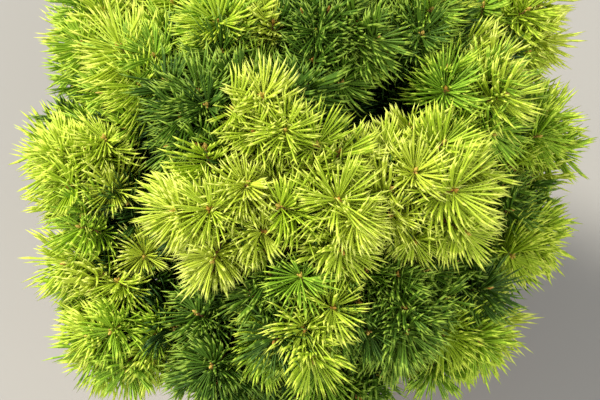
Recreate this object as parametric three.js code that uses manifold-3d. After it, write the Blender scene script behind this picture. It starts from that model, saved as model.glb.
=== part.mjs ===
// A golden dwarf mountain pine, grown as a low rounded mound, in a plain tapered clay pot.
// Millimetres, +Z up. The origin is the centre of the pot's flat underside. The front of
// the plant faces -Y.

import * as THREE from "three";
import { mergeVertices } from "three/addons/utils/BufferGeometryUtils.js";
import Module from "manifold-3d";

const wasm = await Module();
wasm.setup();

// Driving dimensions of the pot and its filling
const pot = {
  height: 240,
  rimRadius: 134,
  rimHeight: 40,
  rimStep: 7,
  footRadius: 94,
  wall: 9,
  floor: 12,
  edge: 3,
  sides: 32,
  drains: 3,
  drainRadius: 8,
  drainCircle: 46,
};
const compost = { edgeLevel: 208, level: 216, flatRadius: 52 };

// Driving dimensions of the wood
const groundLevel = compost.level;
const gap = 0.3;
const trunk = {
  foot: 15.5,
  flare: 8.5,
  flareHeight: 26,
  tip: 3.6,
  sides: 9,
  steps: 12,
};
const bough = { lowRoot: 5.8, highRoot: 3.7, tip: 2.9, sides: 5, steps: 4 };

// Driving dimensions of the crown. Every mass stands on a ray from the heart.
const heart = new THREE.Vector3(0, 0, 275);
const stem = { length: 44, past: 14, root: 2.9, sides: 5, steps: 5 };
const whorls = [
  { below: 2, opens: [54, 76], twig: [21, 28], root: 1.5, sides: 3, steps: 3 },
  { below: 25, opens: [80, 104], twig: [18, 26], root: 1.5, sides: 3, steps: 3 },
];
const stagger = 7;
const shoot = { length: 29, neck: 1.4, core: 3.9, rises: [0.1, 0.6], terminal: 1.14 };
const needle = {
  length: 37,
  root: 3.6,
  gap: 1,
  last: [0.9, 1.5],
  first: [0.3, 0.9],
  old: [0, 0.4],
};
const cellGap = 0.8;
const limbGap = 1.2;

// The masses of foliage: turn is counted from +X towards +Y and lift from level, in degrees.
// Reach runs from the heart to the point where the stem of the mass begins to branch, and
// leaves is how far up the trunk its bough starts, above the compost.
const masses = [
  { place: "right", leaves: 12, turn: -17, lift: 7, reach: 160, upper: 5, lower: 3 },
  { place: "right_front", leaves: 24, turn: -49, lift: 8, reach: 165, upper: 5, lower: 3 },
  { place: "front_right", leaves: 48, turn: -66, lift: 23, reach: 158, upper: 4, lower: 3, deep: true },
  { place: "front", leaves: 36, turn: -89, lift: 29, reach: 162, upper: 4, lower: 3 },
  { place: "front_low", leaves: 12, turn: -83, lift: 1, reach: 158, upper: 4, lower: 3 },
  { place: "front_left", leaves: 24, turn: -108, lift: 11, reach: 160, upper: 4, lower: 3, deep: true },
  { place: "left_front", leaves: 12, turn: -135, lift: 4, reach: 176, upper: 5, lower: 3 },
  { place: "left_low", leaves: 36, turn: -152, lift: 12, reach: 162, upper: 5, lower: 3 },
  { place: "left", leaves: 48, turn: -170, lift: 23, reach: 164, upper: 4, lower: 3 },
  { place: "left_rear", leaves: 12, turn: 172, lift: 5, reach: 170, upper: 5, lower: 3 },
  { place: "left_back", leaves: 36, turn: 149, lift: 22, reach: 188, upper: 5, lower: 3 },
  { place: "back_left", leaves: 24, turn: 126, lift: 8, reach: 162, upper: 5, lower: 3 },
  { place: "back", leaves: 48, turn: 96, lift: 13, reach: 162, upper: 5, lower: 3 },
  { place: "back_right", leaves: 12, turn: 62, lift: 7, reach: 176, upper: 5, lower: 3 },
  { place: "right_back", leaves: 36, turn: 34, lift: 20, reach: 208, upper: 5, lower: 3 },
  { place: "right_rear", leaves: 24, turn: 9, lift: 13, reach: 172, upper: 5, lower: 3 },
  { place: "shoulder_right", leaves: 61, turn: 4, lift: 43, reach: 160, upper: 4, lower: 3 },
  { place: "shoulder_front_right", leaves: 73, turn: -42, lift: 46, reach: 164, upper: 5, lower: 3 },
  { place: "shoulder_front", leaves: 61, turn: -77, lift: 55, reach: 160, upper: 4, lower: 3 },
  { place: "shoulder_front_left", leaves: 73, turn: -119, lift: 50, reach: 162, upper: 5, lower: 3 },
  { place: "shoulder_left", leaves: 61, turn: 168, lift: 47, reach: 160, upper: 5, lower: 3 },
  { place: "shoulder_back_left", leaves: 73, turn: 124, lift: 40, reach: 158, upper: 5, lower: 3 },
  { place: "shoulder_back", leaves: 61, turn: 83, lift: 42, reach: 158, upper: 5, lower: 3 },
  { place: "shoulder_back_right", leaves: 73, turn: 38, lift: 53, reach: 162, upper: 4, lower: 3 },
  { place: "top_front", leaves: 83, turn: -106, lift: 73, reach: 156, upper: 3, lower: 3 },
  { place: "top_left", leaves: 95, turn: -157, lift: 66, reach: 154, upper: 3, lower: 3, deep: true },
  { place: "top_back", leaves: 107, turn: 146, lift: 70, reach: 156, upper: 3, lower: 3 },
  { place: "top", leaves: 0, turn: 58, lift: 78, reach: 152, upper: 4, lower: 3, deep: true },
];
const leader = masses.at(-1);

const up = new THREE.Vector3(0, 0, 1);
const radians = THREE.MathUtils.degToRad;
const mix = THREE.MathUtils.lerp;

// A repeatable number from 0 to 1 for any few whole numbers
function chance(...keys) {
  let h = 2166136261;
  for (const key of keys) h = Math.imul(h ^ key, 16777619);
  h = Math.imul(h ^ (h >>> 15), 2246822507);
  h = Math.imul(h ^ (h >>> 13), 3266489909);
  return ((h ^ (h >>> 16)) >>> 0) / 4294967296;
}

function between(low, high, ...keys) {
  return mix(low, high, chance(...keys));
}

function direction(turn, lift) {
  const flat = Math.cos(radians(lift));
  return new THREE.Vector3(
    flat * Math.cos(radians(turn)),
    flat * Math.sin(radians(turn)),
    Math.sin(radians(lift)),
  );
}

// Solids for joining and cutting
function solidOf(geometry) {
  const bare = new THREE.BufferGeometry();
  bare.setAttribute("position", geometry.getAttribute("position").clone());
  bare.setIndex(geometry.index);
  const merged = mergeVertices(bare, 1e-4);
  return new wasm.Manifold(
    new wasm.Mesh({
      numProp: 3,
      vertProperties: new Float32Array(merged.attributes.position.array),
      triVerts: new Uint32Array(merged.index.array),
    }),
  );
}

function geometryOf(solid) {
  const mesh = solid.getMesh();
  const geometry = new THREE.BufferGeometry();
  geometry.setAttribute("position", new THREE.BufferAttribute(mesh.vertProperties, 3));
  geometry.setIndex(new THREE.BufferAttribute(mesh.triVerts, 1));
  return geometry;
}

// A limb is a cylinder bent along a curve, with a radius for each place on it
function limbGeometry(curve, radiusAt, sides, steps, grow = 0) {
  const geometry = new THREE.CylinderGeometry(1, 1, 1, sides, steps);
  const frames = curve.computeFrenetFrames(steps, false);
  const place = geometry.getAttribute("position");
  const share = new Float32Array(place.count);
  for (let i = 0; i < place.count; i++) {
    const along = place.getY(i) + 0.5;
    const ring = Math.round(along * steps);
    const turn = Math.atan2(place.getZ(i), place.getX(i));
    const radius = radiusAt(along, turn) + grow;
    const point = curve
      .getPointAt(along)
      .addScaledVector(frames.normals[ring], place.getX(i) * radius)
      .addScaledVector(frames.binormals[ring], -place.getZ(i) * radius);
    place.setXYZ(i, point.x, point.y, point.z);
    share[i] = along;
  }
  geometry.setAttribute("along", new THREE.BufferAttribute(share, 1));
  return geometry;
}

// The pot: one closed profile turned about the axis, with drain holes through the floor
function potGeometry() {
  const bandFoot = pot.height - pot.rimHeight;
  const bodyTop = pot.rimRadius - pot.rimStep;
  const profile = [
    [0, 0],
    [pot.footRadius - pot.edge, 0],
    [pot.footRadius, pot.edge],
    [bodyTop - pot.edge, bandFoot],
    [pot.rimRadius - pot.edge, bandFoot],
    [pot.rimRadius - pot.edge / 2, bandFoot + pot.edge],
    [pot.rimRadius, pot.height - pot.edge],
    [pot.rimRadius - pot.edge, pot.height],
    [pot.rimRadius - pot.edge - pot.wall, pot.height],
    [innerRadius(bandFoot), bandFoot],
    [innerRadius(pot.floor), pot.floor],
    [0, pot.floor],
  ].map(([x, y]) => new THREE.Vector2(x, y));
  let body = solidOf(new THREE.LatheGeometry(profile, pot.sides).rotateX(Math.PI / 2));
  for (let i = 0; i < pot.drains; i++) {
    const hole = new THREE.CylinderGeometry(pot.drainRadius, pot.drainRadius, 3 * pot.floor, 10);
    const turn = (2 * Math.PI * i) / pot.drains;
    hole.rotateX(Math.PI / 2);
    hole.translate(pot.drainCircle * Math.cos(turn), pot.drainCircle * Math.sin(turn), 0);
    body = body.subtract(solidOf(hole));
  }
  return geometryOf(body);
}

function innerRadius(level) {
  const bandFoot = pot.height - pot.rimHeight;
  const top = pot.rimRadius - pot.rimStep - pot.edge - pot.wall;
  const rimInside = pot.rimRadius - pot.edge - pot.wall;
  if (level > bandFoot) return mix(top, rimInside, (level - bandFoot) / pot.rimHeight);
  return mix(pot.footRadius - pot.wall, top, level / bandFoot);
}

// The compost fills the pot to a little under the rim and is level round the trunk
function compostGeometry() {
  const bandFoot = pot.height - pot.rimHeight;
  const profile = [
    [0, pot.floor],
    [innerRadius(pot.floor) - gap, pot.floor],
    [innerRadius(bandFoot) - gap, bandFoot],
    [innerRadius(compost.edgeLevel) - gap, compost.edgeLevel],
    [compost.flatRadius, compost.level],
    [0, compost.level],
  ].map(([x, y]) => new THREE.Vector2(x, y));
  return new THREE.LatheGeometry(profile, pot.sides).rotateX(Math.PI / 2);
}

// The trunk leans a little and runs up into the highest mass as its leader
function trunkCurve() {
  const tip = hubOf(leader).addScaledVector(axisOf(leader), -stem.length);
  const rise = tip.z - groundLevel;
  return new THREE.CubicBezierCurve3(
    new THREE.Vector3(0, 0, groundLevel),
    new THREE.Vector3(0, 0, groundLevel + 0.35 * rise),
    tip.clone().addScaledVector(axisOf(leader), -0.5 * rise),
    tip,
  );
}

function trunkRadius(along, turn) {
  const height = along * trunkLength;
  const flare = Math.max(0, 1 - height / trunk.flareHeight) ** 2;
  const buttress = 1 + 0.3 * Math.cos(3 * turn + 0.6) + 0.2 * Math.cos(5 * turn);
  return mix(trunk.foot, trunk.tip, along ** 0.8) + trunk.flare * flare * buttress;
}

// The trunk's lowest ring lies flat on the compost
function trunkGeometry(grow) {
  const geometry = limbGeometry(trunkLine, trunkRadius, trunk.sides, trunk.steps, grow);
  const place = geometry.getAttribute("position");
  for (let i = 0; i < place.count; i++) {
    if (place.getZ(i) < groundLevel + 1) place.setZ(i, groundLevel);
  }
  return geometry;
}

// Places and directions in a mass
function axisOf(mass) {
  return direction(mass.turn, mass.lift);
}

function hubOf(mass) {
  return heart.clone().addScaledVector(axisOf(mass), mass.reach);
}

// Each bough leaves the trunk in its own layer, runs out level and turns up into its mass
function boughCurve(mass) {
  const out = direction(mass.turn, 0);
  const start = trunkLine.getPointAt(mass.leaves / trunkLength);
  const tip = hubOf(mass).addScaledVector(axisOf(mass), -stem.length);
  const run = Math.hypot(tip.x - start.x, tip.y - start.y);
  const level = Math.max(0, Math.min(1, 1 - mass.lift / 90));
  const early = start.clone().addScaledVector(out, 0.45 * run * level + 8);
  early.z += 0.25 * (tip.z - start.z);
  const late = tip.clone().addScaledVector(axisOf(mass), -0.3 * run - 12);
  return new THREE.CubicBezierCurve3(start, early, late, tip);
}

function boughRadius(mass) {
  const root = mix(bough.lowRoot, bough.highRoot, mass.leaves / 110);
  return (along) => mix(root, bough.tip, along ** 0.7);
}

// The shoots of a mass: the stem runs out into one, and two whorls stand round the stem.
// Fold draws a shoot in towards the axis.
function shootsOf(mass, index) {
  const axis = axisOf(mass);
  const hub = hubOf(mass);
  const foot = hub.clone().addScaledVector(axis, gap - stem.length);
  const crest = hub.clone().addScaledVector(axis, stem.past);
  const size = shoot.terminal * between(0.92, 1.06, index, 0, 5);
  const first = { ...stem, from: foot, base: crest, heading: headingOf(axis, axis), size, seed: 0 };
  const made = [() => first];
  whorls.forEach((whorl, row) => {
    const count = [mass.upper, mass.lower][row];
    const phase = between(0, 2 * Math.PI, index, row, 1);
    for (let k = 0; k < count; k++) {
      const seed = 20 * row + k + 1;
      const from = hub.clone().addScaledVector(axis, -whorl.below - stagger * (k % 2));
      const turn = phase + (2 * Math.PI * (k + between(-0.16, 0.16, index, seed, 2))) / count;
      const open = radians(between(...whorl.opens, index, seed, 3));
      const reach = between(...whorl.twig, index, seed, 4);
      const bulk = between(0.9, 1.08, index, seed, 5);
      made.push((fold) => {
        const way = around(axis, turn, open * fold);
        const base = from.clone().addScaledVector(way, reach);
        return { ...whorl, from, base, heading: headingOf(way, axis), size: bulk, seed };
      });
    }
  });
  return made;
}

// The direction that stands off an axis by one angle, at another angle round it
function around(axis, turn, open) {
  const side = new THREE.Vector3().crossVectors(up, axis).normalize();
  const other = new THREE.Vector3().crossVectors(axis, side);
  return axis
    .clone()
    .multiplyScalar(Math.cos(open))
    .addScaledVector(side, Math.sin(open) * Math.cos(turn))
    .addScaledVector(other, Math.sin(open) * Math.sin(turn));
}

// Shoots turn up from the twig that carries them, more so higher in the crown
function headingOf(way, axis) {
  const rise = mix(...shoot.rises, Math.max(0, axis.z));
  return way
    .clone()
    .multiplyScalar(0.8)
    .addScaledVector(axis, 0.3)
    .addScaledVector(up, rise)
    .normalize();
}

// A mass keeps to the part of space that is nearer to its own hub than to any other
function inCell(point, index) {
  const own = point.distanceTo(hubs[index]);
  return hubs.every((hub, other) => {
    if (other === index) return true;
    const apart = hub.distanceTo(hubs[index]);
    const past = (point.distanceToSquared(hub) - own * own) / (2 * apart);
    return past > cellGap;
  });
}

function clearOfPot(point) {
  const across = Math.hypot(point.x, point.y);
  return point.z > pot.height + 2 || across > pot.rimRadius + 3;
}

const scratch = [new THREE.Vector3(), new THREE.Vector3()];

// Whether a straight piece of the given thickness stays off the trunk and every bough
function clearOfLimbs(from, to, thickness) {
  const span = from.distanceTo(to);
  const near = Math.ceil(span / 4);
  for (let i = 0; i <= near; i++) {
    const point = scratch[0].lerpVectors(from, to, i / near);
    if (!clearOfPot(point)) return false;
    for (const knot of knots) {
      const apart = scratch[1].copy(knot.point).distanceTo(point);
      if (apart < knot.radius + thickness + limbGap) return false;
    }
  }
  return true;
}

// Whether a spike stays off every earlier one of its mass. Each is a line that thins from
// its root to its tip.
function clearOfSpikes(from, to, root, taken) {
  for (let i = 1; i <= 6; i++) {
    const along = i / 6;
    const point = scratch[0].lerpVectors(from, to, along);
    for (const other of taken) {
      const far = other.line.closestPointToPointParameter(point, true);
      const apart = other.line.at(far, scratch[1]).distanceTo(point);
      if (apart < root * (1 - along) + mix(other.root, other.tip, far) + needle.gap) return false;
    }
  }
  return true;
}

// A spray is a twig that runs out into a slim core, whose faces are drawn out into needles.
// A face whose needle would leave the mass's space or meet another one stays flat.
function sprayGeometry(one, index, taken) {
  const end = one.base.clone().addScaledVector(one.heading, shoot.length * one.size);
  const line = new THREE.QuadraticBezierCurve3(one.from, one.base, end);
  const radiusAt = (along) => {
    const ring = Math.round(along * one.steps);
    if (ring === one.steps) return 0;
    if (ring === one.steps - 1) return shoot.core;
    return mix(one.root, shoot.neck, ring / (one.steps - 2));
  };
  const wood = limbGeometry(line, radiusAt, one.sides, one.steps).toNonIndexed();
  const corner = wood.getAttribute("position");
  const share = wood.getAttribute("along");
  const points = [];
  const spikes = [];
  for (let f = 0; f < corner.count / 3; f++) {
    const rows = [3 * f, 3 * f + 1, 3 * f + 2];
    const [a, b, c] = rows.map((i) => new THREE.Vector3().fromBufferAttribute(corner, i));
    if (new THREE.Triangle(a, b, c).getArea() < 1e-3) continue;
    if (![a, b, c].every((p) => inCell(p, index))) return null;
    const along = rows.reduce((sum, i) => sum + share.getX(i), 0) / 3;
    const centre = a.clone().add(b).add(c).divideScalar(3);
    const ring = Math.floor(along * one.steps);
    const bare = along === 0 || (ring < one.steps - 2 && !(one.seed === 0 && ring === 0));
    const tip = bare ? null : needleTip(centre, line, along, one, index, f, taken);
    if (tip) {
      points.push(a, b, tip, b, c, tip, c, a, tip);
      spikes.push({ line: new THREE.Line3(centre, tip), root: needle.root, tip: 0 });
    } else points.push(a, b, c);
  }
  taken.push(...spikes, { line: new THREE.Line3(one.base, end), root: shoot.core, tip: 1 });
  return new THREE.BufferGeometry().setFromPoints(points);
}

// Needles near the end of a shoot lean forward, those behind stand out more, and the old
// ones at the foot of a stem stand straight out
function needleTip(centre, line, along, one, index, face, taken) {
  const heading = line.getTangentAt(along);
  const ring = Math.floor(along * one.steps);
  const leans = [needle.last, needle.first, needle.old][Math.min(2, one.steps - 1 - ring)];
  const lean = between(...leans, index, one.seed, face, 8);
  const way = centre
    .clone()
    .sub(line.getPointAt(along))
    .projectOnPlane(heading)
    .normalize()
    .applyAxisAngle(heading, between(-0.25, 0.25, index, one.seed, face, 9))
    .addScaledVector(heading, lean)
    .normalize();
  const length = needle.length * one.size * between(0.85, 1.08, index, one.seed, face, 7);
  for (const part of [1, 0.8, 0.6]) {
    const tip = centre.clone().addScaledVector(way, length * part);
    if (!inCell(tip, index) || !clearOfLimbs(centre, tip, 1.5)) continue;
    if (clearOfSpikes(centre, tip, needle.root, taken)) return tip;
  }
  return null;
}

// Whether the wood of a shoot has room, among the limbs and the earlier shoots of its mass
function hasRoom(one, index, taken) {
  const far = one.base.clone().addScaledVector(one.heading, shoot.length * one.size);
  if (one.seed === 0) return true;
  if (![one.base, far].every((point) => inCell(point, index))) return false;
  if (!clearOfLimbs(one.from, one.base, one.root)) return false;
  if (!clearOfLimbs(one.base, far, shoot.core)) return false;
  return clearOfSpikes(one.base, far, shoot.core, taken);
}

// A mass is its stem, its twigs and their sprays, joined into one body. A shoot with no room
// where it would stand is folded in a little, and left out where that doesn't help.
function massGeometry(mass, index) {
  const pieces = [];
  const taken = [];
  for (const shootAt of shootsOf(mass, index)) {
    for (const fold of [1, 0.82, 0.64, 0.46]) {
      const one = shootAt(fold);
      const geometry = hasRoom(one, index, taken) && sprayGeometry(one, index, taken);
      if (!geometry) continue;
      pieces.push(solidOf(geometry));
      if (one.seed === 0) {
        taken.push({ line: new THREE.Line3(one.from, one.base), root: one.root, tip: shoot.neck });
      }
      break;
    }
  }
  return geometryOf(wasm.Manifold.union(pieces));
}

const hubs = masses.map(hubOf);
const trunkLine = trunkCurve();
const trunkLength = trunkLine.getLength();
const boughLines = masses.map((mass) => (mass === leader ? null : boughCurve(mass)));
const limbs = masses.map((mass, i) =>
  mass === leader
    ? [trunkLine, (along) => trunkRadius(along, 0)]
    : [boughLines[i], boughRadius(mass)],
);

// Points along every limb, with the limb's radius there, for keeping needles off the wood
const knots = [];
for (const [line, radiusAt] of limbs) {
  const count = Math.ceil(line.getLength() / 4);
  for (let i = 0; i <= count; i++) {
    knots.push({ point: line.getPointAt(i / count), radius: radiusAt(i / count) });
  }
}

// Materials
const clay = new THREE.MeshStandardMaterial({ color: 0xb8683f, roughness: 0.85, metalness: 0 });
const soil = new THREE.MeshStandardMaterial({ color: 0x3a2a1f, roughness: 1, metalness: 0 });
const bark = new THREE.MeshStandardMaterial({ color: 0x6b5140, roughness: 0.9, metalness: 0 });
const fresh = new THREE.MeshStandardMaterial({ color: 0xa6c832, roughness: 0.55, metalness: 0 });
const deep = new THREE.MeshStandardMaterial({ color: 0x4f7f22, roughness: 0.6, metalness: 0 });

const plant = new THREE.Group();

function add(name, geometry, material) {
  const mesh = new THREE.Mesh(geometry, material);
  mesh.name = name;
  plant.add(mesh);
}

add("pot", potGeometry(), clay);
add("compost", compostGeometry(), soil);

const trunkCutter = solidOf(trunkGeometry(gap));
add("trunk", trunkGeometry(0), bark);

masses.forEach((mass, i) => {
  if (mass !== leader) {
    const whole = solidOf(limbGeometry(...limbs[i], bough.sides, bough.steps));
    add(`bough_${mass.place}`, geometryOf(whole.subtract(trunkCutter)), bark);
  }
  add(`foliage_${mass.place}`, massGeometry(mass, i), mass.deep ? deep : fresh);
});

export default plant;
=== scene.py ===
# A golden dwarf mountain pine in a plain clay pot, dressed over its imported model.
# Lengths are in millimetres and become metres as each mesh is made.

import math

import bmesh
import bpy
import numpy as np
from mathutils import Matrix, Vector, noise


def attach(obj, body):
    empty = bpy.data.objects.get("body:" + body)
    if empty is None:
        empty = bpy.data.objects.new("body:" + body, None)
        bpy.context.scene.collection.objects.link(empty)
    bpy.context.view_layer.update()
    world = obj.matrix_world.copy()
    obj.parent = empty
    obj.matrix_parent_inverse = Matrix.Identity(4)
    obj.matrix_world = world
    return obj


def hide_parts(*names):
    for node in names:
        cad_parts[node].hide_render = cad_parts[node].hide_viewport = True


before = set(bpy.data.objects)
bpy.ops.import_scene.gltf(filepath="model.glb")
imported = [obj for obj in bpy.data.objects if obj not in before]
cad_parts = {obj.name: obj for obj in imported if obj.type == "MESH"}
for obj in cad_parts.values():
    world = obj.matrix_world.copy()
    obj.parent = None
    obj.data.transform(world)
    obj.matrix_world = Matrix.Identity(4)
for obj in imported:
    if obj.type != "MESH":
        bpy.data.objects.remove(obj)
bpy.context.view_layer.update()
metre = 0.001


# Numbers by a seeded rule, the same as the source's

def chance(*keys):
    h = 2166136261
    for key in keys:
        h = ((h ^ key) * 16777619) & 0xFFFFFFFF
    h = ((h ^ (h >> 15)) * 2246822507) & 0xFFFFFFFF
    h = ((h ^ (h >> 13)) * 3266489909) & 0xFFFFFFFF
    return (h ^ (h >> 16)) / 4294967296


def mix(low, high, share):
    return low + (high - low) * share


def between(low, high, *keys):
    return mix(low, high, chance(*keys))


def unit(v):
    return v / np.linalg.norm(v)


def direction(turn, lift):
    t, l = math.radians(turn), math.radians(lift)
    return np.array([math.cos(l) * math.cos(t), math.cos(l) * math.sin(t), math.sin(l)])


up = np.array([0.0, 0.0, 1.0])

# The plant's sizes: the limbs and masses are the source's, and the shoots keep to its rule
ground = 216  # the compost's level at the trunk
heart = np.array([0.0, 0.0, 275.0])  # where the axes of all the masses meet
trunk = {
    "foot": 15.5, "flare": 8.5, "flareHeight": 26, "tip": 3.6, "taper": 0.8, "setsOut": 0.35,
    "arrives": 0.5,
}
bough = {
    "lowRoot": 5.8, "highRoot": 3.7, "highest": 110, "tip": 2.9, "taper": 0.7,
    "setsOut": (0.45, 8), "climbs": 0.25, "arrives": (0.3, 12),
}
stem = {"length": 44, "past": 14, "root": 2.9, "crest": 1.9}
shoot = {
    "length": 27, "middle": 13, "rises": (0.1, 0.6), "leans": 16, "terminal": 1.12,
    "leadBelow": 6, "stagger": 7, "wander": 0.16, "sizes": (0.9, 1.08), "leadSizes": (0.92, 1.06),
    "outwards": 0.8, "forwards": 0.3, "folds": (1, 0.82, 0.64, 0.46), "apart": 15, "beyond": 2,
    "room": 4, "seedsPerRow": 20,
}

# Place, where its bough leaves the trunk, turn, lift, reach, upper and lower shoots
masses = [
    ("right", 12, -17, 7, 160, 5, 3),
    ("right_front", 24, -49, 8, 165, 5, 3),
    ("front_right", 48, -66, 23, 158, 4, 3),
    ("front", 36, -89, 29, 162, 4, 3),
    ("front_low", 12, -83, 1, 158, 4, 3),
    ("front_left", 24, -108, 11, 160, 4, 3),
    ("left_front", 12, -135, 4, 176, 5, 3),
    ("left_low", 36, -152, 12, 162, 5, 3),
    ("left", 48, -170, 23, 164, 4, 3),
    ("left_rear", 12, 172, 5, 170, 5, 3),
    ("left_back", 36, 149, 22, 188, 5, 3),
    ("back_left", 24, 126, 8, 162, 5, 3),
    ("back", 48, 96, 13, 162, 5, 3),
    ("back_right", 12, 62, 7, 176, 5, 3),
    ("right_back", 36, 34, 20, 208, 5, 3),
    ("right_rear", 24, 9, 13, 172, 5, 3),
    ("shoulder_right", 61, 4, 43, 160, 4, 3),
    ("shoulder_front_right", 73, -42, 46, 164, 5, 3),
    ("shoulder_front", 61, -77, 55, 160, 4, 3),
    ("shoulder_front_left", 73, -119, 50, 162, 5, 3),
    ("shoulder_left", 61, 168, 47, 160, 5, 3),
    ("shoulder_back_left", 73, 124, 40, 158, 5, 3),
    ("shoulder_back", 61, 83, 42, 158, 5, 3),
    ("shoulder_back_right", 73, 38, 53, 162, 4, 3),
    ("top_front", 83, -106, 73, 156, 3, 3),
    ("top_left", 95, -157, 66, 154, 3, 3),
    ("top_back", 107, 146, 70, 156, 3, 3),
    ("top", 0, 58, 78, 152, 4, 3),
]
names = [m[0] for m in masses]
axes = [direction(m[2], m[3]) for m in masses]
hubs = np.array([heart + a * m[4] for a, m in zip(axes, masses)])
leader = len(masses) - 1


# Lines: a bezier curve measured along its length
linePoints = 241


def bezier(*knots):
    share = np.linspace(0, 1, linePoints)[:, None]
    rows = [np.repeat(np.array(k, float)[None], linePoints, 0) for k in knots]
    while len(rows) > 1:
        rows = [a + (b - a) * share for a, b in zip(rows, rows[1:])]
    steps = np.linalg.norm(np.diff(rows[0], axis=0), axis=1)
    return {"points": rows[0], "far": np.concatenate([[0], np.cumsum(steps)])}


def pointAt(line, share):
    want = share * line["far"][-1]
    return np.array([np.interp(want, line["far"], line["points"][:, k]) for k in range(3)])


def tangentAt(line, share):
    low, high = max(0, share - 0.01), min(1, share + 0.01)
    return unit(pointAt(line, high) - pointAt(line, low))


def trunkLine():
    tip = hubs[leader] - axes[leader] * stem["length"]
    rise = tip[2] - ground
    foot = np.array([0, 0, ground])
    early = foot + up * trunk["setsOut"] * rise
    return bezier(foot, early, tip - axes[leader] * trunk["arrives"] * rise, tip)


mainLine = trunkLine()


# A bough leaves the trunk outwards and comes to its mass along the mass's axis
def boughLine(i):
    _, leaves, turn, lift, *_ = masses[i]
    out = direction(turn, 0)
    start = pointAt(mainLine, leaves / mainLine["far"][-1])
    tip = hubs[i] - axes[i] * stem["length"]
    run = math.hypot(tip[0] - start[0], tip[1] - start[1])
    level = max(0, min(1, 1 - lift / 90))
    share, least = bough["setsOut"]
    early = start + out * (share * run * level + least)
    early[2] += bough["climbs"] * (tip[2] - start[2])
    share, least = bough["arrives"]
    late = tip - axes[i] * (share * run + least)
    return bezier(start, early, late, tip)


# The flare has three broad lobes and five slight ones
def trunkRadius(share, turn):
    height = share * mainLine["far"][-1]
    flare = max(0, 1 - height / trunk["flareHeight"]) ** 2
    buttress = 1 + 0.3 * math.cos(3 * turn + 0.6) + 0.2 * math.cos(5 * turn)
    taper = mix(trunk["foot"], trunk["tip"], share ** trunk["taper"])
    return taper + trunk["flare"] * flare * buttress


def boughRadius(i):
    root = mix(bough["lowRoot"], bough["highRoot"], masses[i][1] / bough["highest"])
    return lambda share, turn=0: mix(root, bough["tip"], share ** bough["taper"])


limbs = [(mainLine, trunkRadius) if i == leader else (boughLine(i), boughRadius(i))
         for i in range(len(masses))]

# Points along every limb with its radius, for keeping shoots and needles off the wood
knotSpacing = 4
knotPlaces, knotRadii = [], []
for line, radiusAt in limbs:
    count = math.ceil(line["far"][-1] / knotSpacing)
    for k in range(count + 1):
        knotPlaces.append(pointAt(line, k / count))
        knotRadii.append(radiusAt(k / count, 0))
knotPlaces = np.array(knotPlaces, np.float32)
knotRadii = np.array(knotRadii, np.float32)


def addObject(name, data):
    made = bpy.data.objects.new(name, data)
    bpy.context.scene.collection.objects.link(made)
    return made


# Sets inputs of a node to plain values, by label or number
def setInputs(node, values):
    for label, value in values.items():
        node.inputs[label].default_value = value
    return node


# Camera and light

camera = {"place": (0, -463.97, 1058.62), "target": (0, -38.97, 322.5), "view": 31.16,
          "sensor": 36}
eye = addObject("camera", bpy.data.cameras.new("camera"))
eye.location = Vector(camera["place"]) * metre
look = (Vector(camera["target"]) - Vector(camera["place"])) * metre
eye.rotation_euler = look.to_track_quat("-Z", "Y").to_euler()
eye.data.sensor_width = camera["sensor"]
eye.data.lens = camera["sensor"] / 2 / math.tan(math.radians(camera["view"] / 2))
bpy.context.scene.camera = eye

# The key light is a soft sun, so that the floor is lit evenly: where it comes from, its width in
# degrees, its strength and its colour
key = {"from": (-2.7, 1.1, 4.3), "width": 17.5, "strength": 4.5, "colour": (1.0, 0.98, 0.92)}
lamp = addObject("key", bpy.data.lights.new("key", "SUN"))
lamp.rotation_euler = (-Vector(key["from"])).to_track_quat("-Z", "Y").to_euler()
lamp.data.angle = math.radians(key["width"])
lamp.data.energy = key["strength"]
lamp.data.color = key["colour"]

# Each softer light: place in metres, size in metres, watts, colour
softLights = {
    "fill": ((1.6, -2.6, 2.2), 3.0, 72, (0.97, 0.98, 1.0)),
    "side": ((-3.0, -0.9, 1.6), 2.5, 38, (1.0, 1.0, 1.0)),
}
aim = Vector((0, 0, 0.3))
for name, (place, size, watts, colour) in softLights.items():
    lamp = addObject(name, bpy.data.lights.new(name, "AREA"))
    lamp.location = place
    lamp.rotation_euler = (aim - Vector(place)).to_track_quat("-Z", "Y").to_euler()
    lamp.data.shape = "DISK"
    lamp.data.size = size
    lamp.data.energy = watts
    lamp.data.color = colour

sky = {"Color": (0.9, 0.95, 1.0, 1), "Strength": 0.61}
world = bpy.data.worlds.new("studio")
bpy.context.scene.world = world
world.use_nodes = True
setInputs(world.node_tree.nodes["Background"], sky)
bpy.context.scene.view_settings.view_transform = "Standard"
print("camera and lights set")


# Materials

# A hex colour as linear values
def linear(hexColour):
    values = [int(hexColour[k:k + 2], 16) / 255 for k in (0, 2, 4)]
    curve = [v / 12.92 if v <= 0.04045 else ((v + 0.055) / 1.055) ** 2.4 for v in values]
    return (*curve, 1)


def newGroup(name, inputs, outputs):
    group = bpy.data.node_groups.new(name, "ShaderNodeTree")
    for label, kind, value in inputs:
        socket = group.interface.new_socket(label, in_out="INPUT", socket_type=kind)
        if value is not None:
            socket.default_value = value
    for label, kind in outputs:
        group.interface.new_socket(label, in_out="OUTPUT", socket_type=kind)
    return group, group.nodes.new("NodeGroupInput"), group.nodes.new("NodeGroupOutput")


# The two colours that go into a Mix node and the one that comes out
mixFirst, mixSecond, mixResult = 6, 7, 2

# Uneven tone: two sizes of noise choose between three colours, and give a height for bumps
toneMix = {
    "broad": 0.45, "fine": 0.55,
    "darkToMiddle": {"From Min": 0.36, "From Max": 0.52},
    "middleToLight": {"From Min": 0.5, "From Max": 0.66},
}


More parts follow.
